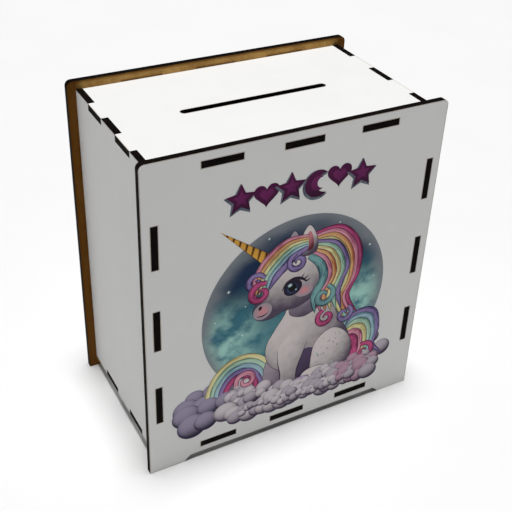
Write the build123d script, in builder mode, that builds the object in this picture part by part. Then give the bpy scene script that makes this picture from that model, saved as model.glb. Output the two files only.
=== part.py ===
"""A wooden money box of laser-cut, finger-jointed boards.

Six boards of one sheet thickness lock together: a front and a back panel that stand past the body
all round, two side panels, a top panel with a slot for notes and coins, and a bottom panel with an
opening that a swinging cover closes from below.

Frame: X to the right along the front panel, Y from the front panel to the back panel, Z up.
The origin is under the middle of the box, on the surface that it stands on. Sizes are millimetres.
"""
import os

from build123d import *

os.makedirs("parts", exist_ok=True)

# Driving dimensions of the boards
sheet = 3.0                  # thickness of every board
panel_width = 138.0          # front and back panels, side to side
panel_height = 155.1         # front and back panels, foot to top edge
box_depth = 82.0             # over the outer faces of the front and back panels
overhang = 3.8               # front and back panels past the other boards
floor_clearance = 5.8        # surface to the underside of the bottom panel
corner_radius = 2.5          # upper corners of the front and back panels
recess_height = 3.0          # low recess between the two feet
recess_width = 99.0          # recess along its upper edge
foot_slope = 3.0             # how much wider the recess is at the surface
fingers_across = 7           # joint fingers along the width and up the height
fingers_deep = 5             # joint fingers along the depth

# Money slot in the top panel
slot_length = 68.6
slot_width = 3.4

# Opening in the bottom panel, and the cover that swings under it
hatch_width = 26.0
hatch_length = 42.0
cover_lap = 4.0              # cover past the opening, on all sides
pivot_to_hatch = 9.5         # pivot axis to the near end of the opening
pivot_y = -18.0
cover_heel = 8.0             # cover behind the pivot axis
heel_radius = 6.0            # corners of the heel
swing_gap = 0.1              # running gap above and below the cover

# M3 button-head screw, its washers and its nut
screw_diameter = 3.0
screw_length = 10.0
screw_hole = 3.1
head_diameter = 5.7
head_height = 1.65
head_round = 1.2             # rounding of the head's crown
socket_width = 2.0           # hexagon socket, across its flats
socket_depth = 1.0
washer_diameter = 7.0
washer_bore = 3.2
washer_thickness = 0.5
nut_width = 5.5              # across the flats
nut_height = 2.4
nut_chamfer = 0.3

# Sizes that follow from them
inner_width = panel_width - 2 * (overhang + sheet)
inner_depth = box_depth - 2 * sheet
inner_height = panel_height - overhang - floor_clearance - 2 * sheet
bottom_level = floor_clearance
ceiling_level = bottom_level + sheet + inner_height
middle_level = bottom_level + sheet + inner_height / 2
finger_x = inner_width / fingers_across
finger_y = inner_depth / fingers_deep
finger_z = inner_height / fingers_across
pivot_x = hatch_length / 2 + pivot_to_hatch


def facing_board_outline():
    """Front or back panel: rounded upper corners, two feet, and mortises along its four edges."""
    with Locations((0, panel_height / 2)):
        outline = Rectangle(panel_width, panel_height)
    fillet(outline.vertices().group_by(Axis.Y)[-1], corner_radius)
    half = recess_width / 2
    Polygon(
        (-half - foot_slope, 0), (half + foot_slope, 0), (half, recess_height), (-half, recess_height),
        align=None, mode=Mode.SUBTRACT,
    )
    with Locations((0, middle_level)):
        with GridLocations(inner_width + sheet, 2 * finger_z, 2, 3):
            Rectangle(sheet, finger_z, mode=Mode.SUBTRACT)
        with GridLocations(2 * finger_x, inner_height + sheet, 3, 2):
            Rectangle(finger_x, sheet, mode=Mode.SUBTRACT)


def side_board_outline():
    """Side panel: three tabs into the front and back panels, three into the top and bottom."""
    with Locations((0, middle_level)):
        Rectangle(inner_depth, inner_height)
        with GridLocations(inner_depth + sheet, 2 * finger_z, 2, 3):
            Rectangle(sheet, finger_z)
        with GridLocations(2 * finger_y, inner_height + sheet, 3, 2):
            Rectangle(finger_y, sheet)


def level_board_outline():
    """Top or bottom panel: three tabs into the front and back panels, two into each side."""
    Rectangle(inner_width, inner_depth)
    with GridLocations(2 * finger_x, inner_depth + sheet, 3, 2):
        Rectangle(finger_x, sheet)
    with GridLocations(inner_width + sheet, 2 * finger_y, 2, 2):
        Rectangle(sheet, finger_y)


def finish(piece, name):
    """Label a finished piece and write it to its own file."""
    piece.part.label = name
    export_step(piece.part, f"parts/{name}.step")


# Front and back panels, each cut from its outer face inwards or from its inner face outwards
for name, plane_offset in (("front_panel", inner_depth / 2), ("back_panel", -box_depth / 2)):
    with BuildPart() as facing_panel:
        with BuildSketch(Plane.XZ.offset(plane_offset)):
            facing_board_outline()
        extrude(amount=sheet)
    finish(facing_panel, name)

# Side panels
for name, plane_offset in (("left_side_panel", -inner_width / 2 - sheet),
                           ("right_side_panel", inner_width / 2)):
    with BuildPart() as side_panel:
        with BuildSketch(Plane.YZ.offset(plane_offset)):
            side_board_outline()
        extrude(amount=sheet)
    finish(side_panel, name)

# Top panel, with the slot for notes and coins
with BuildPart() as top_panel:
    with BuildSketch(Plane.XY.offset(ceiling_level)):
        level_board_outline()
        SlotOverall(slot_length, slot_width, mode=Mode.SUBTRACT)
    extrude(amount=sheet)
finish(top_panel, "top_panel")

# Bottom panel, with the opening for taking the money out and the pivot screw's hole
with BuildPart() as bottom_panel:
    with BuildSketch(Plane.XY.offset(bottom_level)):
        level_board_outline()
        with Locations((0, pivot_y)):
            SlotOverall(hatch_length, hatch_width, mode=Mode.SUBTRACT)
        with Locations((pivot_x, pivot_y)):
            Circle(screw_hole / 2, mode=Mode.SUBTRACT)
    extrude(amount=sheet)
finish(bottom_panel, "bottom_panel")

# Swinging cover: a tongue with one round end, turning on the screw near its square end
cover_level = bottom_level - swing_gap - sheet
cover_width = hatch_width + 2 * cover_lap
cover_start = pivot_x + cover_heel
cover_end_centre = -hatch_length / 2 - cover_lap + cover_width / 2
with BuildPart() as hatch_cover:
    with BuildSketch(Plane.XY.offset(cover_level)):
        with Locations(((cover_start + cover_end_centre) / 2, pivot_y)):
            tongue = Rectangle(cover_start - cover_end_centre, cover_width)
        fillet(tongue.vertices().group_by(Axis.X)[-1], heel_radius)
        with Locations((cover_end_centre, pivot_y)):
            Circle(cover_width / 2)
        with Locations((pivot_x, pivot_y)):
            Circle(screw_hole / 2, mode=Mode.SUBTRACT)
    extrude(amount=sheet)
finish(hatch_cover, "hatch_cover")

# Pivot hardware, stacked upwards from the screw's head under the cover to the nut in the box
screw_washer_level = cover_level - swing_gap - washer_thickness
head_level = screw_washer_level - head_height
nut_washer_level = bottom_level + sheet
nut_level = nut_washer_level + washer_thickness

with BuildPart() as pivot_screw:
    with BuildSketch(Plane.XY.offset(head_level)):
        with Locations((pivot_x, pivot_y)):
            Circle(head_diameter / 2)
    extrude(amount=head_height)
    fillet(pivot_screw.edges().group_by(Axis.Z)[0], head_round)
    with BuildSketch(Plane.XY.offset(screw_washer_level)):
        with Locations((pivot_x, pivot_y)):
            Circle(screw_diameter / 2)
    extrude(amount=screw_length)
    with BuildSketch(Plane.XY.offset(head_level)):
        with Locations((pivot_x, pivot_y)):
            RegularPolygon(socket_width / 2, 6, major_radius=False)
    extrude(amount=socket_depth, mode=Mode.SUBTRACT)
finish(pivot_screw, "pivot_screw")

for name, level in (("screw_washer", screw_washer_level), ("nut_washer", nut_washer_level)):
    with BuildPart() as washer:
        with BuildSketch(Plane.XY.offset(level)):
            with Locations((pivot_x, pivot_y)):
                Circle(washer_diameter / 2)
                Circle(washer_bore / 2, mode=Mode.SUBTRACT)
        extrude(amount=washer_thickness)
    finish(washer, name)

with BuildPart() as pivot_nut:
    with BuildSketch(Plane.XY.offset(nut_level)):
        with Locations((pivot_x, pivot_y)):
            RegularPolygon(nut_width / 2, 6, major_radius=False)
            Circle(screw_diameter / 2, mode=Mode.SUBTRACT)
    extrude(amount=nut_height)
    outer_edges = pivot_nut.edges().filter_by(GeomType.LINE).group_by(Axis.Z)[-1]
    chamfer(outer_edges, nut_chamfer)
finish(pivot_nut, "pivot_nut")
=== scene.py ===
"""Looks of the wooden money box: laminated boards with laser-burnt edges, a printed picture on the
front panel, zinc-plated pivot hardware, a pale floor, soft light and a camera.

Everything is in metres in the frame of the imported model; the picture's own drawing units are
millimetres, X to the right of the panel's middle and Z up from the surface that the box stands on.
"""
import math
import random

import bpy
from mathutils import Matrix, Vector
from mathutils.geometry import delaunay_2d_cdt


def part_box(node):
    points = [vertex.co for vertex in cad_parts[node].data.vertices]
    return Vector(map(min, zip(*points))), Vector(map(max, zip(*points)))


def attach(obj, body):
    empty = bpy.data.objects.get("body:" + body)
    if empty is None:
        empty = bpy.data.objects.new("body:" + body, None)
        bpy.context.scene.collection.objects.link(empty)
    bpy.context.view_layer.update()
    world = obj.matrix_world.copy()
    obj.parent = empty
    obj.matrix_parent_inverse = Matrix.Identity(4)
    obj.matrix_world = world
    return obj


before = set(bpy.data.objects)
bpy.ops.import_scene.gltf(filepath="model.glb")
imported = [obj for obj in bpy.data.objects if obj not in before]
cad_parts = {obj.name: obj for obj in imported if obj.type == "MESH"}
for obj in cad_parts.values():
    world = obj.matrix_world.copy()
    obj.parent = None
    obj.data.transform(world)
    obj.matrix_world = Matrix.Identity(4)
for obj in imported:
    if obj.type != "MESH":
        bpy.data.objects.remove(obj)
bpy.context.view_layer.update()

MM = 0.001


# ---------------------------------------------------------------- sizes, from the frame

front_low, front_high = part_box("front_panel")
back_low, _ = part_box("back_panel")
left_low, left_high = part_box("left_side_panel")
right_low, right_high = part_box("right_side_panel")
top_low, top_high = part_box("top_panel")
bottom_low, bottom_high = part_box("bottom_panel")

SHEET = front_high.y - front_low.y
INNER_WIDTH = right_low.x - left_high.x
INNER_DEPTH = back_low.y - front_high.y
INNER_HEIGHT = top_low.z - bottom_high.z
MIDDLE_LEVEL = (top_low.z + bottom_high.z) / 2
FINGERS = 7                 # joint fingers along the width, and up the height
FINGER_X = INNER_WIDTH / FINGERS
FINGER_Z = INNER_HEIGHT / FINGERS
SLOT_LENGTH = 68.6 * MM
SLOT_WIDTH = 3.4 * MM
COVER_LAP = 4.0 * MM        # hatch cover past its opening, on all sides


# ---------------------------------------------------------------- node trees

INK_DEPTH = 1.2             # above 1, darker tones get deeper
INK_COVER = 0.93            # brightness of the strongest white ink


def ink(red, green, blue):
    """A printing ink from 0 to 255 display values, as the linear colour that shaders take.

    The ink lies on the board a little deeper and less bright than the display value.
    """
    def channel(value):
        value = value / 255
        shown = value / 12.92 if value <= 0.04045 else ((value + 0.055) / 1.055) ** 2.4
        return INK_COVER * shown ** INK_DEPTH
    return (channel(red), channel(green), channel(blue), 1.0)


class Nodes:
    """A material's node tree, with short calls for the few kinds of node that the looks need."""

    def __init__(self, name, **shader_settings):
        self.material = bpy.data.materials.new(name)
        self.material.use_nodes = True
        self.tree = self.material.node_tree
        self.shader = self.tree.nodes["Principled BSDF"]
        for socket, value in shader_settings.items():
            self.shader.inputs[socket.replace("_", " ")].default_value = value

    def node(self, kind, **settings):
        made = self.tree.nodes.new("ShaderNode" + kind)
        for name, value in settings.items():
            setattr(made, name, value)
        return made

    def feed(self, socket, value):
        if isinstance(value, bpy.types.NodeSocket):
            self.tree.links.new(value, socket)
        else:
            socket.default_value = value

    def math(self, operation, *values, clamp=False):
        made = self.node("Math", operation=operation, use_clamp=clamp)
        for socket, value in zip(made.inputs, values):
            self.feed(socket, value)
        return made.outputs[0]

    def vector(self, operation, *values):
        made = self.node("VectorMath", operation=operation)
        for socket, value in zip(made.inputs, values):
            self.feed(socket, value)
        number = operation in ("LENGTH", "DOT_PRODUCT", "DISTANCE")
        return made.outputs["Value" if number else "Vector"]

    def combine(self, x, y, z):
        made = self.node("CombineXYZ")
        for socket, value in zip(made.inputs, (x, y, z)):
            self.feed(socket, value)
        return made.outputs[0]

    def separate(self, vector):
        made = self.node("SeparateXYZ")
        self.feed(made.inputs[0], vector)
        return made.outputs

    def blend(self, factor, low, high):
        """A number between low and high."""
        made = self.node("Mix", data_type="FLOAT")
        for index, value in ((0, factor), (2, low), (3, high)):
            self.feed(made.inputs[index], value)
        return made.outputs[0]

    def tint(self, factor, low, high):
        """A colour between low and high."""
        made = self.node("Mix", data_type="RGBA")
        for index, value in ((0, factor), (6, low), (7, high)):
            self.feed(made.inputs[index], value)
        return made.outputs[2]

    def step(self, value, start, end):
        """0 before start, 1 after end, smooth between; start may be above end."""
        made = self.node("MapRange", interpolation_type="SMOOTHSTEP")
        for index, number in enumerate((value, start, end, 0.0, 1.0)):
            self.feed(made.inputs[index], number)
        return made.outputs[0]

    def noise(self, position, size, detail=3.0, stretch=(1, 1, 1)):
        """Noise whose features are about size across, times stretch along each axis."""
        scale = tuple(1 / (size * factor) for factor in stretch)
        made = self.node("TexNoise")
        self.feed(made.inputs["Vector"], self.vector("MULTIPLY", position, scale))
        made.inputs["Scale"].default_value = 1.0
        made.inputs["Detail"].default_value = detail
        return made.outputs[0]

    def bump(self, height, distance, strength=1.0):
        made = self.node("Bump")
        made.inputs["Distance"].default_value = distance
        made.inputs["Strength"].default_value = strength
        self.feed(made.inputs["Height"], height)
        self.tree.links.new(made.outputs[0], self.shader.inputs["Normal"])

    def colour(self, value):
        self.feed(self.shader.inputs["Base Color"], value)

    def roughness(self, value):
        self.feed(self.shader.inputs["Roughness"], value)


# ---------------------------------------------------------------- boards

LAMINATE = (0.80, 0.80, 0.79, 1)
LAMINATE_SHADE = (0.785, 0.785, 0.775, 1)
SMOKE = (0.34, 0.24, 0.14, 1)
FIBRE_LIGHT = (0.65, 0.385, 0.122, 1)
FIBRE_DARK = (0.39, 0.210, 0.060, 1)
# scorched fibre colour, also used as painted shade beside the side panels and where other boards
# meet the raw side
FIBRE_SCORCH_AND_SHADE = (0.125, 0.044, 0.004, 1)
CHAR = (0.0010, 0.0008, 0.0007, 1)
CHAR_BROWN = (0.016, 0.008, 0.005, 1)
SPECK = (0.55, 0.53, 0.50, 1)
BOARD_GLOSS = 0.05          # specular level
BOARD_RELIEF = 0.06 * MM
LAMINATE_ROUGH = (0.34, 0.46)
CUT_ROUGH = 0.78
RAW_ROUGH = 0.85
HALO = 0.5 * MM             # reach of the smoke stain beside a cut
SIDE_SHADE_REACH = 6.0 * MM           # reach of the painted shade along the raw side's upright edges, beside the side panels
SINGE_AND_SHADE_REACH = 1.4 * MM            # reach of the darker line beside any cut on the raw side: scorch, and painted shade where another board meets it


def cut_distance(nodes, position, across, up, cuts, outline, nose):
    """Distance from a point of a board's face to the nearest cut edge, in the board's own plane.

    across and up are the face's two axes. cuts are openings (middle across, middle up, size across,
    size up, margin round that size), and outline is the board's rectangle (half its width, its low
    end, its high end); both are mirrored across the middle, so that a pair is given once. nose is
    the board's round end, if it has one (centre across, centre up, radius), and isn't mirrored.
    """
    part = nodes.separate(position)
    x = nodes.math("ABSOLUTE", part[across])
    z = part[up]
    nearest = None
    for middle_x, middle_z, size_x, size_z, margin in cuts:
        off_x = nodes.math("ABSOLUTE", nodes.math("SUBTRACT", x, middle_x))
        off_z = nodes.math("ABSOLUTE", nodes.math("SUBTRACT", z, middle_z))
        out_x = nodes.math("SUBTRACT", off_x, size_x / 2)
        out_z = nodes.math("SUBTRACT", off_z, size_z / 2)
        past_x = nodes.math("MAXIMUM", out_x, 0.0)
        past_z = nodes.math("MAXIMUM", out_z, 0.0)
        reach = nodes.vector("LENGTH", nodes.combine(past_x, past_z, 0.0))
        distance = nodes.math("SUBTRACT", reach, margin)
        nearest = distance if nearest is None else nodes.math("MINIMUM", nearest, distance)
    half_x, low_z, high_z = outline
    edge_x = nodes.math("SUBTRACT", half_x, x)
    edge_low = nodes.math("SUBTRACT", z, low_z)
    edge_high = nodes.math("SUBTRACT", high_z, z)
    edge = nodes.math("MINIMUM", edge_x, nodes.math("MINIMUM", edge_low, edge_high))
    if nose:
        centre_x, centre_z, radius = nose
        off_x = nodes.math("MAXIMUM", nodes.math("SUBTRACT", centre_x, part[across]), 0.0)
        off_z = nodes.math("SUBTRACT", z, centre_z)
        reach = nodes.vector("LENGTH", nodes.combine(off_x, off_z, 0.0))
        edge = nodes.math("MINIMUM", edge, nodes.math("SUBTRACT", radius, reach))
    edge = nodes.math("MAXIMUM", edge, 0.0)
    return edge if nearest is None else nodes.math("MINIMUM", nearest, edge)


def board_material(name, outward, across, up, cuts, outline, nose=None):
    """White laminate on the outward face, raw fibreboard on the other, burnt edges between."""
    nodes = Nodes(name, Specular_IOR_Level=BOARD_GLOSS)
    place = nodes.node("TexCoord").outputs
    position = place["Object"]
    facing = nodes.vector("DOT_PRODUCT", place["Normal"], outward)
    outside = nodes.math("GREATER_THAN", facing, 0.5)
    inside = nodes.math("LESS_THAN", facing, -0.5)

    def stretched(factor):
        """Stretch of a noise through the board's thickness."""
        return [factor if part else 1.0 for part in outward]

    # the laminate: almost even, with faint clouding, pinpoint specks and a smoke stain at the cuts
    distance = cut_distance(nodes, position, across, up, cuts, outline, nose)
    clouding = nodes.noise(position, 22 * MM, 2.0)
    laminate = nodes.tint(nodes.step(clouding, 0.35, 0.7), LAMINATE_SHADE, LAMINATE)
    specks = nodes.step(nodes.noise(position, 0.9 * MM, 1.0), 0.76, 0.82)
    laminate = nodes.tint(nodes.math("MULTIPLY", specks, 0.25), laminate, SPECK)
    ragged = nodes.math("MULTIPLY_ADD", nodes.noise(position, 1.6 * MM), -0.5 * HALO, distance)
    stain = nodes.math("MULTIPLY", nodes.step(ragged, HALO, -0.2 * HALO), 0.55)
    laminate = nodes.tint(stain, laminate, SMOKE)

    # the raw side: pressed fibres in all directions, with painted shade beside the side panels and
    # a scorched line along the cuts that also paints shade where other boards meet it
    fibres = nodes.noise(position, 0.5 * MM, 4.0, (7.0, 7.0, 1.0))
    crossing = nodes.noise(position, 0.5 * MM, 4.0, (1.0, 1.0, 7.0))
    weave = nodes.math("MULTIPLY", nodes.math("ADD", fibres, crossing), 0.5)
    blotch = nodes.noise(position, 9 * MM, 3.0)
    tone = nodes.blend(0.55, weave, blotch)
    raw = nodes.tint(nodes.step(tone, 0.36, 0.64), FIBRE_DARK, FIBRE_LIGHT)
    # painted shade: the raw side darkens towards its upright edges, where the side panels shade the
    # overhanging strips
    from_middle = nodes.math("ABSOLUTE", nodes.separate(position)[across])
    side_gap = nodes.math("SUBTRACT", outline[0], from_middle)
    side_gap = nodes.math("MULTIPLY_ADD", nodes.noise(position, 5 * MM), -2.5 * MM, side_gap)
    side_shade = nodes.math("MULTIPLY", nodes.step(side_gap, SIDE_SHADE_REACH, 0.3 * SIDE_SHADE_REACH), 0.92)
    raw = nodes.tint(side_shade, raw, FIBRE_SCORCH_AND_SHADE)
    # scorch along every cut, which is also painted shade where another board meets the raw side
    singe_and_shade = nodes.math("MULTIPLY", nodes.step(ragged, SINGE_AND_SHADE_REACH, 0.0), 0.8)
    raw = nodes.tint(singe_and_shade, raw, FIBRE_SCORCH_AND_SHADE)

    # the cut: charred, with the laser's fine marks running through the thickness
    marks = nodes.noise(position, 0.22 * MM, 2.0, stretched(12.0))
    patches = nodes.noise(position, 6 * MM, 2.0, stretched(0.12))
    browned = nodes.math("MULTIPLY", marks, nodes.step(patches, 0.3, 0.8))
    char = nodes.tint(browned, CHAR, CHAR_BROWN)

    nodes.colour(nodes.tint(outside, nodes.tint(inside, char, raw), laminate))
    laminate_rough = nodes.blend(nodes.noise(position, 1.2 * MM, 2.0), *LAMINATE_ROUGH)
    nodes.roughness(nodes.blend(outside, nodes.blend(inside, CUT_ROUGH, RAW_ROUGH), laminate_rough))
    peel = nodes.math("MULTIPLY", nodes.noise(position, 0.8 * MM, 1.0), 0.12)
    relief = nodes.blend(outside, nodes.blend(inside, marks, weave), peel)
    nodes.bump(relief, BOARD_RELIEF)
    return nodes.material


def facing_cuts():
    """Mortises of the front and back panels, mirrored left to right."""
    cuts = []
    for row in (-1, 0, 1):
        level = MIDDLE_LEVEL + 2 * FINGER_Z * row
        cuts.append((INNER_WIDTH / 2 + SHEET / 2, level, SHEET, FINGER_Z, 0.0))
    for level in (top_high.z - SHEET / 2, bottom_low.z + SHEET / 2):
        cuts.append((0.0, level, FINGER_X, SHEET, 0.0))
        cuts.append((2 * FINGER_X, level, FINGER_X, SHEET, 0.0))
    return cuts


def dress(node, material):
    """Give a CAD node one material, in its own slots."""
    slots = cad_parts[node].data.materials
    slots.clear()
    slots.append(material)


X, Y, Z = 0, 1, 2
facing_outline = (front_high.x, front_low.z, front_high.z)
side_outline = (INNER_DEPTH / 2, left_low.z, left_high.z)
level_outline = (right_high.x, -INNER_DEPTH / 2, INNER_DEPTH / 2)
slot_cut = (0.0, 0.0, SLOT_LENGTH - SLOT_WIDTH, 0.0, SLOT_WIDTH / 2)

# The cover laps over its opening by the same width all round, so its box gives the opening's place
cover_low, cover_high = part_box("hatch_cover")
cover_outline = (cover_high.x, cover_low.y, cover_high.y)
cover_radius = (cover_high.y - cover_low.y) / 2
cover_middle = (cover_high.y + cover_low.y) / 2
cover_nose = (cover_low.x + cover_radius, cover_middle, cover_radius)
hatch_cut = (0.0, cover_middle, -2 * cover_nose[0], 0.0, cover_radius - COVER_LAP)

dress("front_panel", board_material("front_board", (0, -1, 0), X, Z, facing_cuts(), facing_outline))
dress("back_panel", board_material("back_board", (0, 1, 0), X, Z, facing_cuts(), facing_outline))
dress("left_side_panel", board_material("left_board", (-1, 0, 0), Y, Z, [], side_outline))
dress("right_side_panel", board_material("right_board", (1, 0, 0), Y, Z, [], side_outline))
dress("top_panel", board_material("top_board", (0, 0, 1), X, Y, [slot_cut], level_outline))
dress("bottom_panel", board_material("bottom_board", (0, 0, -1), X, Y, [hatch_cut], level_outline))
dress("hatch_cover", board_material("cover_board", (0, 0, -1), X, Y, [], cover_outline, cover_nose))


# ---------------------------------------------------------------- pivot hardware

ZINC_BLUE = (0.50, 0.52, 0.55, 1)
ZINC_WARM = (0.66, 0.65, 0.62, 1)
ZINC_ROUGH = (0.26, 0.48)
ZINC_RELIEF = 0.01 * MM


def zinc_material():
    """Zinc-plated steel, with fine turning marks and a faint bluish cast."""
    nodes = Nodes("zinc_plate", Metallic=1.0)
    position = nodes.node("TexCoord").outputs["Object"]
    marks = nodes.noise(position, 0.15 * MM, 3.0, (1, 1, 0.4))
    cast = nodes.noise(position, 2.5 * MM, 2.0)
    nodes.colour(nodes.tint(cast, ZINC_BLUE, ZINC_WARM))
    nodes.roughness(nodes.blend(marks, *ZINC_ROUGH))
    nodes.bump(marks, ZINC_RELIEF)
    return nodes.material


zinc = zinc_material()
for hardware in ("pivot_screw", "screw_washer", "nut_washer", "pivot_nut"):
    dress(hardware, zinc)


# ---------------------------------------------------------------- shapes of the printed picture

# Ink colours, as pairs of a dark and a light tone
PLUM = ink(58, 44, 66)
PEARL = (ink(104, 92, 112), ink(235, 227, 225))
SHADED_PEARL = (ink(84, 72, 96), ink(186, 174, 186))
BELLY = (ink(46, 36, 64), ink(104, 86, 118))
DUSK_CLOUD = (ink(66, 58, 86), ink(180, 172, 194))
LILAC_CLOUD = (ink(82, 68, 94), ink(208, 198, 208))
PALE_CLOUD = (ink(98, 84, 106), ink(230, 222, 226))
ROSE_CLOUD = (ink(88, 60, 84), ink(208, 174, 192))
SKIN_MIDDLE = ink(184, 173, 182)
IRIS_DEEP = ink(30, 34, 58)
IRIS_BRIGHT = ink(98, 112, 156)
NIGHT_PUPIL = ink(12, 12, 20)
BLUSH = ink(226, 164, 170)
PINK_EAR = (ink(120, 52, 66), ink(218, 150, 156))
GOLD = (ink(92, 46, 12), ink(240, 188, 92))
HOOF = (ink(110, 92, 134), ink(206, 186, 218))
STAR = (ink(150, 186, 196), ink(236, 244, 240))
NIGHT = (ink(28, 62, 98), ink(80, 138, 154))
SKY_PATCH = ink(188, 232, 222)
SKY_RIM = ink(150, 156, 162)
SLATE = (ink(104, 110, 122), ink(132, 138, 150))
VIOLET = (ink(70, 16, 60), ink(102, 30, 88))
ORCHID = (ink(94, 26, 80), ink(132, 52, 114))
MAGENTA = (ink(112, 28, 78), ink(216, 104, 156))
PINK = (ink(164, 84, 116), ink(240, 178, 196))
ORANGE = (ink(176, 104, 66), ink(244, 200, 150))
YELLOW = (ink(176, 158, 102), ink(246, 240, 190))
MINT = (ink(104, 152, 134), ink(206, 232, 212))
AZURE = (ink(86, 128, 150), ink(190, 218, 228))
PURPLE = (ink(72, 52, 108), ink(172, 154, 202))
TEAL = (ink(62, 96, 112), ink(150, 196, 196))
RAINBOW = (MAGENTA, PINK, ORANGE, YELLOW, MINT, AZURE, PURPLE)
OUTLINE = 0.22              # width of the dark line round a drawn form
INK_GLOSS = 0.07            # specular level
INK_ROUGH = (0.30, 0.46)
INK_RELIEF = 0.015 * MM
PRINT_GAP = 0.04 * MM       # the print in front of the front panel's face
SKY_X, SKY_Z, SKY_RADIUS = 1.2, 70.5, 45.3


def spline(points, closed=False, steps=7):
    """A smooth curve through the points."""
    count = len(points)
    spans = count if closed else count - 1

    def point(index):
        if closed:
            return Vector(points[index % count])
        return Vector(points[max(0, min(count - 1, index))])

    curve = []
    for span in range(spans):
        before, start, end, after = (point(span + shift) for shift in (-1, 0, 1, 2))
        for step in range(steps):
            t = step / steps
            curve.append(0.5 * (
                2 * start + (end - before) * t
                + (2 * before - 5 * start + 4 * end - after) * t ** 2
                + (3 * start - before - 3 * end + after) * t ** 3
            ))
    if not closed:
        curve.append(point(count - 1))
    return curve


def grown(outline, distance):
    """The outline moved outwards by a distance. The outline runs anticlockwise."""
    moved = []
    for index, point in enumerate(outline):
        along = outline[(index + 1) % len(outline)] - outline[index - 1]
        outward = Vector((along.y, -along.x)).normalized()
        moved.append(point + outward * distance)
    return moved


def anticlockwise(outline):
    """The outline, turned round if it runs clockwise."""
    area = sum(a.cross(b) for a, b in zip(outline, outline[1:] + outline[:1]))
    return outline if area > 0 else outline[::-1]


def oval_outline(x, z, half_width, half_height, turn=0.0, steps=36):
    """An oval round (x, z), turned anticlockwise by turn degrees."""
    cosine, sine = math.cos(math.radians(turn)), math.sin(math.radians(turn))
    outline = []
    for step in range(steps):
        angle = 2 * math.pi * step / steps
        across, up = half_width * math.cos(angle), half_height * math.sin(angle)
        outline.append(Vector((x + across * cosine - up * sine, z + across * sine + up * cosine)))
    return outline


def oval_place(x, z, half_width, half_height, turn=0.0):
    """Coordinates that are 0 at the oval's centre and 1 long at its rim."""
    cosine, sine = math.cos(math.radians(turn)), math.sin(math.radians(turn))

    def place(point):
        dx, dz = point[0] - x, point[1] - z
        return (dx * cosine + dz * sine) / half_width, (dz * cosine - dx * sine) / half_height
    return place


def star_outline(x, z, radius, points=5, waist=0.48, turn=90.0):
    """A star whose inner corners reach waist times as far as its points."""
    outline = []
    for corner in range(points * 2):
        angle = math.radians(turn + 180 * corner / points)
        reach = radius if corner % 2 == 0 else radius * waist
        outline.append(Vector((x + reach * math.cos(angle), z + reach * math.sin(angle))))
    return outline


def heart_outline(x, z, size, steps=40):
    """A heart about 2 sizes wide."""
    outline = []
    for step in range(steps):
        t = 2 * math.pi * step / steps
        across = 16 * math.sin(t) ** 3
        up = 13 * math.cos(t) - 5 * math.cos(2 * t) - 2 * math.cos(3 * t) - math.cos(4 * t)
        outline.append(Vector((x + across * size / 17, z + (up + 2.5) * size / 17)))
    return anticlockwise(outline)


def moon_outline(x, z, radius, steps=22, opening=48, shift=0.62):
    """A crescent that opens to the right, its tips at plus and minus opening degrees.

    Its inner rim is a circle round a centre that lies shift radii to the right.
    """
    sweep = 360 - 2 * opening
    outer = [math.radians(opening + sweep * step / steps) for step in range(steps + 1)]
    tip = Vector((math.cos(outer[0]), math.sin(outer[0])))
    centre = Vector((shift, 0.0))
    inner_radius = (tip - centre).length
    start = math.atan2(tip.y, tip.x - centre.x)
    outline = [Vector((x + radius * math.cos(a), z + radius * math.sin(a))) for a in outer]
    for step in range(steps - 1, 0, -1):
        angle = start + (2 * math.pi - 2 * start) * step / steps
        reach = centre + inner_radius * Vector((math.cos(angle), math.sin(angle)))
        outline.append(Vector((x, z)) + radius * reach)
    return anticlockwise(outline)


INSIDE_FACES = 1            # the triangulation leaves out what lies outside every shape
WELD = 1e-5                 # points nearer to each other than this become one
SHAPE_SHIFT = 0.37          # from one shape's noise to the next one's


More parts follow.
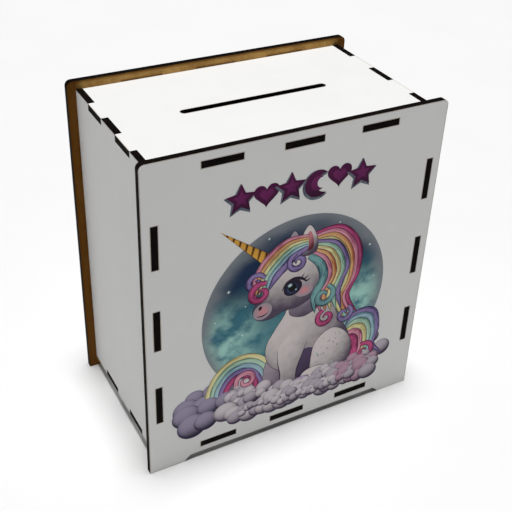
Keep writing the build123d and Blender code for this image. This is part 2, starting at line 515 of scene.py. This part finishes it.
class Print:
    """Flat shapes laid over each other like cut paper, joined into one sheet without overlaps."""

    def __init__(self):
        self.shapes = []

    def lay(self, outline, ink, tones, place, spine=()):
        """Put a shape on top of the others.

        place turns a point into the ink's own coordinates; spine adds mesh points along a bend.
        """
        self.shapes.append((anticlockwise(outline), ink, tones, place, list(spine)))

    def form(self, outline, tones, oval, line=OUTLINE, ink="form"):
        """A rounded form, shaded as the given oval, with a dark line round it."""
        outline = anticlockwise(outline)
        if line:
            self.lay(grown(outline, line), "flat", (PLUM, PLUM), oval_place(*oval))
        self.lay(outline, ink, tones, oval_place(*oval))

    def blob(self, x, z, half_width, half_height, tones, turn=0.0, line=0.0, ink="form"):
        """A form whose outline is the oval itself."""
        oval = (x, z, half_width, half_height, turn)
        self.form(oval_outline(*oval), tones, oval, line, ink)

    def strand(self, points, widths, tones, line=OUTLINE, ink="strand"):
        """A lock of hair or any other ribbon: a smooth spine, with widths from root to tip."""
        spine = spline(points, steps=6)
        last = len(spine) - 1
        normals, halves = [], []
        for index in range(last + 1):
            along = spine[min(index + 1, last)] - spine[max(index - 1, 0)]
            normals.append(Vector((-along.y, along.x)).normalized())
            spot = index / last * (len(widths) - 1)
            low = min(int(spot), len(widths) - 2)
            halves.append((widths[low] + (widths[low + 1] - widths[low]) * (spot - low)) / 2)

        def ribbon(extra):
            upper = [p + n * (h + extra) for p, n, h in zip(spine, normals, halves)]
            lower = [p - n * (h + extra) for p, n, h in zip(spine, normals, halves)]
            tip = spine[-1] + (spine[-1] - spine[-2]).normalized() * extra
            return lower + ([tip] if extra else []) + upper[::-1]

        def place(point):
            point = Vector(point)
            near = min(range(last + 1), key=lambda index: (spine[index] - point).length_squared)
            offset = (point - spine[near]).dot(normals[near])
            return near / last, max(-1.0, min(1.0, offset / max(halves[near], 0.05)))

        if line:
            self.lay(ribbon(line), "flat", (PLUM, PLUM), place)
        self.lay(ribbon(0.0 if halves[-1] else 0.01), ink, tones, place, spine)

    def curl(self, x, z, start, turns, radii, widths, tones):
        """A lock that winds into a spiral; start is an angle, turns is positive anticlockwise."""
        steps = round(abs(turns) * 9)
        points = []
        for step in range(steps + 1):
            share = step / steps
            radius = radii[0] + (radii[1] - radii[0]) * share
            angle = math.radians(start + 360 * turns * share)
            points.append((x + radius * math.cos(angle), z + radius * math.sin(angle)))
        self.strand(points, widths, tones)

    def mane(self, outer, inner, colours, widths):
        """Locks side by side, from the outer spine to the inner one."""
        for index, tones in enumerate(colours):
            share = index / (len(colours) - 1)
            points = [Vector(a).lerp(Vector(b), share) for a, b in zip(outer, inner)]
            self.strand(points, widths, tones)

    def piece(self, name, y, inks):
        """One mesh, at depth y, of what shows of every shape.

        The third number of a face's place differs from shape to shape, for noise that differs too.
        """
        points, edges, faces = [], [], []
        for outline, _, _, _, spine in self.shapes:
            faces.append(list(range(len(points), len(points) + len(outline))))
            points.extend(outline)
            edges.extend((len(points) + i, len(points) + i + 1) for i in range(len(spine) - 1))
            points.extend(spine)
        triangulation = delaunay_2d_cdt(points, edges, faces, INSIDE_FACES, WELD)
        found, triangles, sources = triangulation[0], triangulation[2], triangulation[5]
        shown = [(t, max(s)) for t, s in zip(triangles, sources) if s and len(t) == 3]
        used = sorted({corner for triangle, _ in shown for corner in triangle})
        renumbered = {old: new for new, old in enumerate(used)}
        mesh = bpy.data.meshes.new(name)
        mesh.from_pydata(
            [(found[i].x * MM, y, found[i].y * MM) for i in used], [],
            [[renumbered[corner] for corner in triangle] for triangle, _ in shown],
        )
        ink_names = sorted({shape[1] for shape in self.shapes})
        for ink in ink_names:
            mesh.materials.append(inks[ink])
        spots, darks, lights = [], [], []
        for polygon, (triangle, top) in zip(mesh.polygons, shown):
            _, ink, (dark, light), place, _ = self.shapes[top]
            polygon.material_index = ink_names.index(ink)
            for corner in triangle:
                spots.extend((*place(found[corner]), SHAPE_SHIFT * top))
                darks.extend(dark[:3])
                lights.extend(light[:3])
        for label, values in (("ink_place", spots), ("ink_dark", darks), ("ink_light", lights)):
            attribute = mesh.attributes.new(label, "FLOAT_VECTOR", "CORNER")
            attribute.data.foreach_set("vector", values)
        piece = bpy.data.objects.new(name, mesh)
        bpy.context.scene.collection.objects.link(piece)
        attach(piece, "box")


# ---------------------------------------------------------------- inks

# Where the painted light comes from: across, up and out of the picture
FORM_LIGHT = (-0.38, 0.66, 0.64)
PUFF_LIGHT = (-0.30, 0.74, 0.60)


def ink_nodes(name):
    """An ink's node tree, the position, the place on the shape and the shape's two tones."""
    nodes = Nodes("ink_" + name, Specular_IOR_Level=INK_GLOSS)
    position = nodes.node("TexCoord").outputs["Object"]
    spot = nodes.node("Attribute", attribute_name="ink_place").outputs["Vector"]
    dark = nodes.node("Attribute", attribute_name="ink_dark").outputs["Vector"]
    light = nodes.node("Attribute", attribute_name="ink_light").outputs["Vector"]
    return nodes, position, spot, dark, light


def finish_ink(nodes, position, colour):
    """The print's fine dot grain, in its gloss and its relief."""
    grain = nodes.noise(position, 0.35 * MM, 2.0)
    nodes.colour(colour)
    nodes.roughness(nodes.blend(grain, *INK_ROUGH))
    nodes.bump(grain, INK_RELIEF)
    return nodes.material


def form_ink():
    """A rounded form lit from the upper left, with painted unevenness and a soft darker rim."""
    nodes, position, spot, dark, light = ink_nodes("form")
    part = nodes.separate(spot)
    reach = nodes.vector("LENGTH", nodes.combine(part[0], part[1], 0.0))
    square = nodes.math("MULTIPLY", reach, reach)
    height = nodes.math("SQRT", nodes.math("MAXIMUM", nodes.math("SUBTRACT", 1.0, square), 0.0))
    lit = nodes.vector("DOT_PRODUCT", nodes.combine(part[0], part[1], height), FORM_LIGHT)
    brush = nodes.math("SUBTRACT", nodes.noise(position, 3.5 * MM, 3.0), 0.5)
    tone = nodes.math("MULTIPLY_ADD", brush, 0.38, lit)
    tone = nodes.math("SUBTRACT", tone, nodes.math("MULTIPLY", nodes.step(reach, 0.72, 1.02), 0.22))
    return finish_ink(nodes, position, nodes.tint(nodes.step(tone, -0.25, 1.0), dark, light))


def puff_ink():
    """A cloud's puff: a lumpy ball, bright on its crown, in deep shade where it meets the next."""
    nodes, position, spot, dark, light = ink_nodes("puff")
    part = nodes.separate(spot)
    lumps = nodes.noise(nodes.vector("ADD", position, spot), 3.2 * MM, 4.0)
    lumps = nodes.math("SUBTRACT", lumps, 0.5)
    reach = nodes.vector("LENGTH", nodes.combine(part[0], part[1], 0.0))
    reach = nodes.math("MULTIPLY_ADD", lumps, 0.5, reach)
    square = nodes.math("MULTIPLY", reach, reach)
    height = nodes.math("SQRT", nodes.math("MAXIMUM", nodes.math("SUBTRACT", 1.0, square), 0.0))
    lit = nodes.vector("DOT_PRODUCT", nodes.combine(part[0], part[1], height), PUFF_LIGHT)
    tone = nodes.math("MULTIPLY_ADD", lumps, 0.9, lit)
    tone = nodes.math("SUBTRACT", tone, nodes.math("MULTIPLY", nodes.step(reach, 0.70, 1.05), 0.35))
    return finish_ink(nodes, position, nodes.tint(nodes.step(tone, -0.35, 1.0), dark, light))


def strand_ink():
    """A lock of hair: fine lines from root to tip, a rounded section and two bands of shine."""
    nodes, position, spot, dark, light = ink_nodes("strand")
    part = nodes.separate(spot)
    stretched = nodes.combine(nodes.math("MULTIPLY", part[0], 2.2), part[1], part[2])
    lines = nodes.noise(stretched, 0.22, 3.0)
    section = nodes.math("SUBTRACT", 1.0, nodes.math("MULTIPLY", part[1], part[1]))
    section = nodes.math("MULTIPLY", section, 0.62)
    shine = nodes.math("SINE", nodes.math("MULTIPLY_ADD", part[0], 11.0, 0.4))
    tone = nodes.math("MULTIPLY_ADD", nodes.math("SUBTRACT", lines, 0.5), 1.7, section)
    tone = nodes.math("MULTIPLY_ADD", shine, 0.16, tone)
    return finish_ink(nodes, position, nodes.tint(nodes.step(tone, -0.15, 0.85), dark, light))


def glow_ink():
    """A blush that fades from the shape's light tone at its centre to its dark tone at its rim."""
    nodes, position, spot, dark, light = ink_nodes("glow")
    part = nodes.separate(spot)
    reach = nodes.vector("LENGTH", nodes.combine(part[0], part[1], 0.0))
    return finish_ink(nodes, position, nodes.tint(nodes.step(reach, 1.0, 0.1), dark, light))


def flat_ink():
    """A drawn line, or an even tone that the brush has left slightly cloudy."""
    nodes, position, _, dark, light = ink_nodes("flat")
    brush = nodes.noise(position, 1.5 * MM, 3.0)
    return finish_ink(nodes, position, nodes.tint(nodes.step(brush, 0.35, 0.65), dark, light))


def horn_ink():
    """Gold wound in a spiral: a dark groove after each bright turn, and the underside in shade."""
    nodes, position, spot, dark, light = ink_nodes("horn")
    part = nodes.separate(spot)
    turns = nodes.math("MULTIPLY_ADD", part[1], 0.42, nodes.math("MULTIPLY", part[0], 9.0))
    fraction = nodes.math("FRACT", turns)
    groove = nodes.math("MULTIPLY", nodes.step(fraction, 0.0, 0.35), nodes.step(fraction, 1.0, 0.8))
    tone = nodes.math("MULTIPLY_ADD", part[1], 0.28, nodes.math("MULTIPLY_ADD", groove, 0.75, 0.05))
    brush = nodes.math("SUBTRACT", nodes.noise(position, 0.7 * MM, 3.0), 0.5)
    tone = nodes.math("MULTIPLY_ADD", brush, 0.5, tone)
    return finish_ink(nodes, position, nodes.tint(nodes.step(tone, 0.0, 0.95), dark, light))


def sky_ink():
    """A night sky seen through a round window: deep blue above, teal below, pale drifting cloud."""
    nodes, position, spot, dark, light = ink_nodes("sky")
    part = nodes.separate(spot)
    wisps = nodes.noise(position, 13 * MM, 5.0, (1.3, 1, 0.8))
    fine = nodes.noise(position, 5 * MM, 4.0)
    height = nodes.math("MULTIPLY_ADD", nodes.math("SUBTRACT", wisps, 0.5), 1.1, part[1])
    colour = nodes.tint(nodes.step(height, 0.55, -0.25), dark, light)
    low = nodes.step(part[1], 0.42, -0.15)
    side = nodes.step(nodes.math("ABSOLUTE", part[0]), 0.25, 0.72)
    cloudy = nodes.math("MULTIPLY_ADD", wisps, 0.7, nodes.math("MULTIPLY", fine, 0.3))
    patch = nodes.math("MULTIPLY", nodes.step(cloudy, 0.38, 0.58), low)
    patch = nodes.math("MULTIPLY", patch, nodes.math("MULTIPLY_ADD", side, 0.85, 0.15))
    colour = nodes.tint(patch, colour, SKY_PATCH)
    shifted = nodes.vector("LENGTH", nodes.combine(part[0], nodes.math("ADD", part[1], 0.04), 0.0))
    rim = nodes.math("MULTIPLY_ADD", nodes.math("SUBTRACT", wisps, 0.5), 0.22, shifted)
    colour = nodes.tint(nodes.step(rim, 0.80, 1.04), colour, SKY_RIM)
    return finish_ink(nodes, position, colour)


# ---------------------------------------------------------------- the picture

def cloud_row(drawing, draw, start, end, count, radius, spread):
    """A row of cloud puffs from one point to another, drawn from the back to the front."""
    for index in range(count):
        share = (index + draw.uniform(-0.3, 0.3)) / (count - 1)
        spot = Vector(start).lerp(Vector(end), share)
        size = radius * draw.uniform(0.7, 1.25)
        lift = draw.uniform(-spread, spread)
        tones = draw.choice((LILAC_CLOUD, PALE_CLOUD, PALE_CLOUD))
        if spot.x < -32:
            tones = DUSK_CLOUD
        elif spot.x > 26:
            tones = draw.choice((LILAC_CLOUD, ROSE_CLOUD))
        drawing.blob(spot.x, spot.y + lift, size * draw.uniform(1.0, 1.2), size, tones, ink="puff")


def draw_clouds(drawing, rows, seed):
    """Rows of puffs, the later ones in front; each row is cloud_row's start to spread."""
    draw = random.Random(seed)
    for row in rows:
        cloud_row(drawing, draw, *row)


def draw_sky(drawing):
    """The round night sky with a few four-pointed stars."""
    disc = (SKY_X, SKY_Z, SKY_RADIUS, SKY_RADIUS)
    drawing.lay(oval_outline(*disc, steps=120), "sky", NIGHT, oval_place(*disc))
    for x, z, size in (
        (-32, 88, 1.2), (-25, 63, 0.9), (-14, 109, 0.9), (20, 108, 0.8), (37, 92, 1.1),
        (41, 74, 0.8), (-38, 74, 0.8), (33, 63, 0.8), (-24, 78, 0.7),
    ):
        drawing.lay(star_outline(x, z, size, 4, 0.3), "glow", STAR, oval_place(x, z, size, size))


def draw_rainbow(drawing):
    """A small rainbow that rises from the clouds on the left and curls up at its right foot."""
    colours = (YELLOW, MINT, AZURE, PURPLE, MAGENTA)
    for index, tones in enumerate(colours):
        radius = 19.6 - 2.6 * index
        angles = [math.radians(degrees) for degrees in range(190, -21, -15)]
        arc = [(-25 + 0.82 * radius * math.cos(a), 31 + radius * math.sin(a)) for a in angles]
        drawing.strand(arc, (2.9, 2.9), tones, 0.12)
    drawing.curl(-22.5, 36.5, 200, -1.3, (5.2, 1.2), (2.2, 3.0, 2.0, 0.4), PINK)


def draw_tail(drawing):
    """A tail of locks that falls to the right and ends in two curls."""
    drawing.mane(
        [(27, 42), (33, 54), (43, 53), (46, 42), (45, 33), (52, 25)],
        [(27, 34), (30, 41), (34, 40), (35, 33), (34, 27), (39, 20)],
        (PURPLE, AZURE, MINT, YELLOW, PINK, MAGENTA), (2.4, 4.0, 4.4, 4.2, 3.0, 0.0),
    )
    drawing.curl(41, 30, 120, -1.2, (5.2, 1.0), (2.4, 2.8, 1.8, 0.3), MAGENTA)
    drawing.curl(31, 29, 60, 1.1, (4.2, 1.0), (2.0, 2.6, 1.6, 0.3), PURPLE)


def draw_glitter(drawing):
    """Small lilac and pale dots, scattered over the haunch."""
    draw = random.Random(8)
    for _ in range(46):
        angle = draw.uniform(0, 2 * math.pi)
        reach = 11.5 * math.sqrt(draw.random())
        x = 21.5 + 0.72 * reach * math.cos(angle)
        z = 37 + reach * math.sin(angle)
        size = draw.uniform(0.16, 0.42)
        drawing.blob(x, z, size, size, draw.choice((LILAC_CLOUD, STAR)), ink="glow")


def draw_body(drawing):
    """The sitting body: far foreleg, neck and chest, near foreleg, haunch, hind foot and hooves."""
    drawing.form(spline(
        [(-12, 44), (-14, 34), (-13.5, 23), (-6, 22), (-4, 34), (0, 44), (-4, 50)], closed=True),
        SHADED_PEARL, (-9, 36, 7, 22, 0))
    drawing.form(spline(
        [(-2, 78), (-4, 68), (-9, 60), (-13, 52), (-12, 43), (-6, 36), (4, 31), (16, 26), (28, 26),
         (32, 35), (30, 46), (25, 55), (21, 64), (19, 76), (12, 88), (2, 88)], closed=True),
        PEARL, (7, 56, 25, 36, 12))
    drawing.form(spline([(2, 40), (4, 26), (16, 24), (19, 34), (14, 41), (8, 44)], closed=True),
                 BELLY, (9, 36, 12, 14, 0), 0.0)
    drawing.form(spline(
        [(-6, 50), (-6.5, 40), (-5, 32), (-6, 22), (4, 22), (3.5, 32), (6, 41), (8, 50), (2, 56)],
        closed=True), PEARL, (0, 43, 15, 30, 0), 0.0)
    for contour in (
        [(-7, 47), (-6.5, 40), (-5, 32), (-6, 22)],
        [(8.5, 49), (6, 41), (3.5, 32), (4, 22)],
    ):
        drawing.strand(contour, (0.1, 0.5, 0.5), (PLUM, PLUM), 0, "flat")
    drawing.form(spline(
        [(11, 36), (13, 46), (21, 51), (29, 46), (33, 36), (30, 25), (20, 21), (12, 26)],
        closed=True), PEARL, (21, 36, 14, 17, 0))
    draw_glitter(drawing)
    drawing.form(spline([(7, 29), (14, 31), (22, 28), (23, 22), (14, 20), (5, 21)], closed=True),
                 PEARL, (14, 26, 11, 7, 0))
    for x, z in ((-9.6, 22.5), (-1.0, 22.2), (6.6, 23.4)):
        hoof = [(x - 4.2, z - 2), (x - 3.6, z + 3.4), (x + 3.6, z + 3.4), (x + 4.4, z - 2)]
        drawing.form(spline(hoof, closed=True), HOOF, (x, z, 5, 5, 0))


def draw_head(drawing):
    """The head in side view, looking down a little, with a shadow on the neck and the far ear."""
    drawing.form(spline(
        [(-2, 71), (5, 72), (13, 78), (18, 84), (19, 75), (14, 67), (6, 63), (-1.5, 65.5)],
        closed=True), SHADED_PEARL, (8, 76, 18, 18, 0), 0.0)
    drawing.form(spline([(-3, 99), (-4.5, 105), (-2, 109.5), (1, 104), (2, 99)], closed=True),
                 SHADED_PEARL, (-1.5, 104, 4, 6, 0))
    drawing.form(spline(
        [(-8, 97), (-12, 90), (-15.5, 83), (-19, 77.5), (-20.3, 72.6), (-17.6, 68.4), (-11.5, 67.4),
         (-5, 69.4), (2, 69.6), (9, 73), (14, 80), (14.5, 90), (10, 98), (2, 102)], closed=True),
        PEARL, (-1, 86, 20, 20, -20))
    drawing.blob(-15.6, 72.6, 4.6, 4.2, (SKIN_MIDDLE, BLUSH), 20, 0.0, "glow")
    drawing.blob(4.5, 77.5, 4.4, 3.2, (SKIN_MIDDLE, BLUSH), 0, 0.0, "glow")
    drawing.blob(-16.8, 74.6, 0.8, 1.1, (PLUM, PLUM), -25, 0.0, "flat")
    mouth = [(-18.2, 70.4), (-15.2, 70.2), (-12.4, 71.6)]
    drawing.strand(mouth, (0.3, 0.7, 0.0), (PLUM, PLUM), 0, "flat")
    draw_eye(drawing)


def draw_eye(drawing):
    """A large dark eye under a heavy lid, with lashes at its outer corner."""
    drawing.blob(-1.2, 80.6, 4.6, 4.0, (PLUM, PLUM), 20, 0.0, "flat")
    drawing.blob(-1.5, 80.2, 3.7, 3.3, (IRIS_DEEP, IRIS_BRIGHT), 20, 0.0, "glow")
    drawing.blob(-1.4, 80.6, 2.0, 2.1, (NIGHT_PUPIL, NIGHT_PUPIL), 0, 0.0, "flat")
    drawing.blob(-2.7, 82.2, 1.1, 0.9, STAR, 20, 0.0, "glow")
    drawing.blob(0.4, 79.2, 0.5, 0.4, STAR, 0, 0.0, "glow")
    lid = [(-6.4, 80.6), (-4.4, 83.8), (-0.8, 85.2), (3.0, 84.2), (5.4, 82.0)]
    drawing.strand(lid, (0.4, 1.4, 1.6, 1.5, 0.5), (PLUM, PLUM), 0, "flat")
    for root, tip in (
        ((2.2, 84.4), (4.2, 87.0)), ((3.8, 83.4), (6.4, 85.4)), ((4.8, 82.2), (7.4, 83.2)),
    ):
        middle = (Vector(root) + Vector(tip)) / 2 + Vector((0.2, -0.2))
        drawing.strand([root, middle, tip], (0.9, 0.6, 0.0), (PLUM, PLUM), 0, "flat")


def draw_near_ear(drawing):
    """The ear on the viewer's side, pink inside."""
    drawing.form(spline([(1, 96.5), (1.6, 105), (5, 110.5), (9, 104), (9, 96.5)], closed=True),
                 PEARL, (5, 103, 6, 9, -8))
    inside = [(3.2, 98.5), (3.6, 104), (5.4, 107.6), (7.4, 103.4), (7.2, 98.4)]
    drawing.form(spline(inside, closed=True), PINK_EAR, (5.4, 103, 3.2, 6, -8), 0)


def draw_horn(drawing):
    """A long spiral horn that reaches past the rim of the sky."""
    base, tip, half_base = Vector((-9.5, 94.5)), Vector((-36.0, 118.0)), 3.2
    along = tip - base
    across = Vector((along.y, -along.x)).normalized()

    def horn_place(point):
        reach = Vector(point) - base
        return reach.dot(along) / along.length_squared, -reach.dot(across) / half_base

    horn = [base + across * half_base, base - across * half_base, tip]
    drawing.lay(grown(anticlockwise(horn), 0.35), "flat", (PLUM, PLUM), horn_place)
    drawing.lay(horn, "horn", GOLD, horn_place)


def draw_unicorn(drawing):
    """A sitting unicorn in side view, with a curly mane in rainbow colours."""
    draw_tail(drawing)
    drawing.mane(
        [(4, 104), (20, 105), (30, 94), (31, 80), (27, 68), (34, 56)],
        [(4, 96), (12, 95), (18, 87), (19, 76), (16, 66), (20, 54)],
        RAINBOW, (2.6, 4.4, 4.8, 4.2, 0.0),
    )
    draw_body(drawing)
    draw_head(drawing)
    drawing.mane(
        [(7, 101), (19, 97), (25, 85), (22, 73), (25, 61)],
        [(6, 95), (12, 89), (14, 81), (10, 72), (11, 63)],
        (PURPLE, MINT, YELLOW, ORANGE, PINK, TEAL), (2.6, 4.2, 4.4, 3.8, 0.0),
    )
    drawing.curl(15, 71, 70, -1.25, (5.6, 1.0), (2.0, 3.4, 2.4, 0.3), TEAL)
    drawing.curl(17, 58.5, 110, 1.2, (4.8, 1.0), (2.0, 3.0, 2.0, 0.3), MAGENTA)
    drawing.curl(27, 57, 60, -1.2, (4.4, 1.0), (1.8, 2.8, 1.8, 0.3), PURPLE)
    draw_near_ear(drawing)
    draw_horn(drawing)
    drawing.mane(
        [(5, 105), (-5, 105), (-14, 99), (-19, 91), (-21, 81)],
        [(5, 99.5), (-1, 97), (-6, 92.5), (-10, 88.5), (-13, 83)],
        (PINK, ORANGE, YELLOW, MINT, AZURE, PURPLE), (1.6, 3.4, 3.8, 3.4, 0.0),
    )
    drawing.curl(-19.5, 88.5, 20, 1.25, (4.6, 1.0), (1.8, 3.0, 2.0, 0.3), PURPLE)
    drawing.curl(-17, 82.5, 60, 1.25, (5.4, 1.1), (2.2, 3.6, 2.6, 0.3), MAGENTA)
    drawing.curl(0.5, 93.5, 100, 1.3, (4.8, 0.9), (1.6, 3.0, 2.2, 0.3), PURPLE)


def draw_ornaments(drawing):
    """A row of stars, hearts and a crescent moon, each with a slate shadow and a lighter core."""
    makers = (star_outline, heart_outline, star_outline, moon_outline, heart_outline, star_outline)
    first, spacing, level = -27.4, 11.2, 130.2
    for index, maker in enumerate(makers):
        x = first + spacing * index + (1.2 if maker is moon_outline else 0.0)
        z = level + 0.6 * (-1) ** index
        size = 7.0 if maker is star_outline else 6.2
        near = oval_place(x, z, size, size)
        wide = oval_place(x, z, size * 1.3, size * 1.3)
        shadow = grown(anticlockwise(maker(x - 0.4, z - 0.5, size)), 0.7)
        drawing.lay(shadow, "flat", SLATE, near)
        drawing.lay(maker(x, z, size), "form", VIOLET, wide)
        drawing.lay(maker(x + 0.1, z + 0.2, size * 0.55), "form", ORCHID, near)


def print_front():
    """The picture and the row of ornaments above it."""
    inks = {
        "form": form_ink(), "puff": puff_ink(), "strand": strand_ink(), "glow": glow_ink(),
        "flat": flat_ink(), "horn": horn_ink(), "sky": sky_ink(),
    }
    y = front_low.y - PRINT_GAP
    picture = Print()
    draw_sky(picture)
    draw_clouds(picture, (
        ((-46, 36), (-12, 33), 6, 4.6, 1.4), ((14, 32), (44, 36), 6, 4.6, 1.4),
        ((-50, 30), (-14, 28), 6, 5.6, 1.2), ((16, 27), (49, 29), 6, 5.6, 1.2),
    ), 3)
    draw_rainbow(picture)
    draw_unicorn(picture)
    draw_clouds(picture, (
        ((-51, 26), (-34, 29), 3, 6.4, 1.0),
        ((-30, 29), (-14, 28), 6, 3.4, 1.2),
        ((13, 26), (47, 26), 10, 3.4, 1.6),
        ((-30, 25), (46, 23), 22, 3.4, 1.6),
        ((-47, 20), (-33, 21), 3, 6.2, 0.6),
        ((-28, 20), (47, 20), 20, 4.0, 1.4),
        ((-26, 16), (44, 16), 17, 4.0, 0.8),
        ((-24, 18.5), (34, 17.5), 24, 2.3, 2.2),
    ), 11)
    picture.piece("front_picture", y, inks)
    ornaments = Print()
    draw_ornaments(ornaments)
    ornaments.piece("front_ornaments", y, inks)


print_front()


# ---------------------------------------------------------------- floor, light and camera

FLOOR_REACH = 6.0
FLOOR_TONES = ((0.78, 0.78, 0.78, 1), (0.82, 0.82, 0.82, 1))
SURROUND = 0.06             # strength of the world's light
BACKDROP = 1.0              # strength of the world as the camera sees it
OVERHEAD = 3.57             # strengths of the two distant lights, and how soft they are
OVERHEAD_SPREAD = 15
FROM_BELOW = 0.8
FROM_BELOW_SPREAD = 24
CAMERA_PLACE = (-0.1678, -0.3019, 0.3078)
CAMERA_TURN = -29.44        # degrees anticlockwise from above, so it looks to the right
CAMERA_DROP = 32.12         # degrees that it looks down
CAMERA_ROLL = 2.28
LENS = 63.16                # mm, for a 36 mm sensor
LENS_SHIFT = -0.07


def make_floor():
    """A wide pale floor, which views and light from below pass through as if it weren't there."""
    turns = ((-1, -1), (1, -1), (1, 1), (-1, 1))
    mesh = bpy.data.meshes.new("floor")
    mesh.from_pydata([(FLOOR_REACH * x, FLOOR_REACH * y, 0) for x, y in turns], [], [(0, 1, 2, 3)])
    floor = bpy.data.objects.new("floor", mesh)
    bpy.context.scene.collection.objects.link(floor)
    nodes = Nodes("floor_paper", Roughness=0.9)
    position = nodes.node("TexCoord").outputs["Object"]
    nodes.colour(nodes.tint(nodes.noise(position, 0.1), *FLOOR_TONES))
    clear = nodes.node("BsdfTransparent")
    mix = nodes.node("MixShader")
    nodes.feed(mix.inputs[0], nodes.node("NewGeometry").outputs["Backfacing"])
    nodes.feed(mix.inputs[1], nodes.shader.outputs[0])
    nodes.feed(mix.inputs[2], clear.outputs[0])
    nodes.feed(nodes.tree.nodes["Material Output"].inputs["Surface"], mix.outputs[0])
    mesh.materials.append(nodes.material)
    floor.visible_shadow = False


def make_sun(name, direction, strength, spread_degrees):
    """A distant soft light that shines along direction."""
    data = bpy.data.lights.new(name, "SUN")
    data.energy = strength
    data.angle = math.radians(spread_degrees)
    sun = bpy.data.objects.new(name, data)
    sun.rotation_mode = "QUATERNION"
    sun.rotation_quaternion = Vector(direction).to_track_quat("-Z", "Y")
    bpy.context.scene.collection.objects.link(sun)


def make_world(strength, backdrop):
    """An even surround, dim as a light and bright where the camera sees it behind the floor."""
    world = bpy.data.worlds.new("studio")
    world.use_nodes = True
    tree = world.node_tree
    background = tree.nodes["Background"]
    background.inputs["Color"].default_value = (1, 1, 1, 1)
    seen = tree.nodes.new("ShaderNodeLightPath").outputs["Is Camera Ray"]
    level = tree.nodes.new("ShaderNodeMix")
    level.inputs[2].default_value = strength
    level.inputs[3].default_value = backdrop
    tree.links.new(seen, level.inputs[0])
    tree.links.new(level.outputs[0], background.inputs["Strength"])
    bpy.context.scene.world = world


def make_camera():
    """The camera looks down on the box from the front left, from close by."""
    data = bpy.data.cameras.new("camera")
    data.sensor_width = 36.0
    data.lens = LENS
    data.shift_y = LENS_SHIFT
    camera = bpy.data.objects.new("camera", data)
    turn = Matrix.Rotation(math.radians(CAMERA_TURN), 4, "Z")
    tilt = Matrix.Rotation(math.radians(90 - CAMERA_DROP), 4, "X")
    roll = Matrix.Rotation(math.radians(CAMERA_ROLL), 4, "Z")
    camera.matrix_world = Matrix.Translation(CAMERA_PLACE) @ turn @ tilt @ roll
    bpy.context.scene.collection.objects.link(camera)
    bpy.context.scene.camera = camera


make_floor()
make_world(SURROUND, BACKDROP)
make_sun("overhead", (0, 0, -1), OVERHEAD, OVERHEAD_SPREAD)
make_sun("from_below", (0, 0, 1), FROM_BELOW, FROM_BELOW_SPREAD)
make_camera()
bpy.context.scene.view_settings.view_transform = "Standard"
